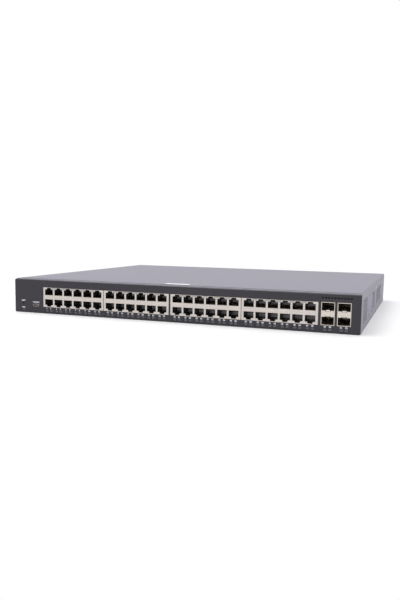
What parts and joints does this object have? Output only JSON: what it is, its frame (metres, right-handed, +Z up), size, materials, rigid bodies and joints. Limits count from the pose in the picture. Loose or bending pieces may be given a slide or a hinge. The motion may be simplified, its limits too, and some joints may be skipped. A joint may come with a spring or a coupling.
{
  "type": "ethernet switch",
  "caption": "Rack-height network switch: folded steel case with perforated sides, dark front with double-row copper ports, optical cages, lamps, reset button and a rear fan.",
  "frame": {"origin": "middle of the case's underside", "axes": "+X to the right as seen from the front, +Y to the rear, +Z up; the ports look towards -Y"},
  "size_m": [0.44, 0.375, 0.044],
  "materials": {
    "case_paint": "light grey, fine satin paint",
    "bezel_plastic": "dark charcoal, fine texture",
    "plated_steel": "warm nickel plate, satin",
    "port_plastic": "black",
    "lamp_plastic": "grey translucent",
    "board_laminate": "green solder mask",
    "chip_package": "moulded black",
    "button_plastic": "pale grey",
    "heat_sink_aluminium": "extruded",
    "post_brass": "plated",
    "fan_plastic": "black, moulded",
    "wire_jacket": "dull red",
    "film_plastic": "clear film",
    "can_sleeve": "dark sleeve",
    "winding_core": "taped winding on ferrite"
  },
  "bodies": {
    "case": {"chassis_base": "case_paint", "top_cover": "case_paint", "front_bezel": "bezel_plastic", "jack_shield_1": "plated_steel", "jack_shield_2": "plated_steel", "jack_shield_3": "plated_steel", "jack_shield_4": "plated_steel", "sfp_cage_1": "plated_steel", "sfp_cage_2": "plated_steel", "console_shell": "plated_steel", "jack_housing_1": "port_plastic", "jack_housing_2": "port_plastic", "jack_housing_3": "port_plastic", "jack_housing_4": "port_plastic", "sfp_connector_1": "port_plastic", "sfp_connector_2": "port_plastic", "console_tongue": "port_plastic", "fan_header": "port_plastic", "dc_headers": "port_plastic", "light_pipe_1": "lamp_plastic", "light_pipe_2": "lamp_plastic", "light_pipe_3": "lamp_plastic", "light_pipe_4": "lamp_plastic", "light_pipe_sfp": "lamp_plastic", "light_pipe_status": "lamp_plastic", "main_board": "board_laminate", "power_board": "board_laminate", "switch_chip": "chip_package", "phy_chips": "chip_package", "memory_chips": "chip_package", "reset_switch": "chip_package", "switch_heat_sink": "heat_sink_aluminium", "phy_heat_sinks": "heat_sink_aluminium", "power_heat_sinks": "heat_sink_aluminium", "board_standoffs": "post_brass", "inlet_pins": "post_brass", "fan_frame": "fan_plastic", "mains_inlet": "fan_plastic", "fan_lead": "wire_jacket", "dc_ribbon": "wire_jacket", "insulator_sheet": "film_plastic", "bulk_capacitor": "can_sleeve", "transformer": "winding_core", "filter_choke": "winding_core"},
    "fan": {"fan_rotor": "fan_plastic"},
    "reset": {"reset_button": "button_plastic"}
  },
  "joints": [
    {"name": "fan_spin", "type": "hinge", "parent": "case", "child": "fan", "pos_m": [0.06, 0.1745, 0.0215], "axis": [0, 1, 0], "continuous": true},
    {"name": "reset_press", "type": "slide", "parent": "case", "child": "reset", "axis": [0, 1, 0], "range_m": [0, 0.0005], "stiffness_N_per_m": 800, "springref_m": -0.0005}
  ]
}
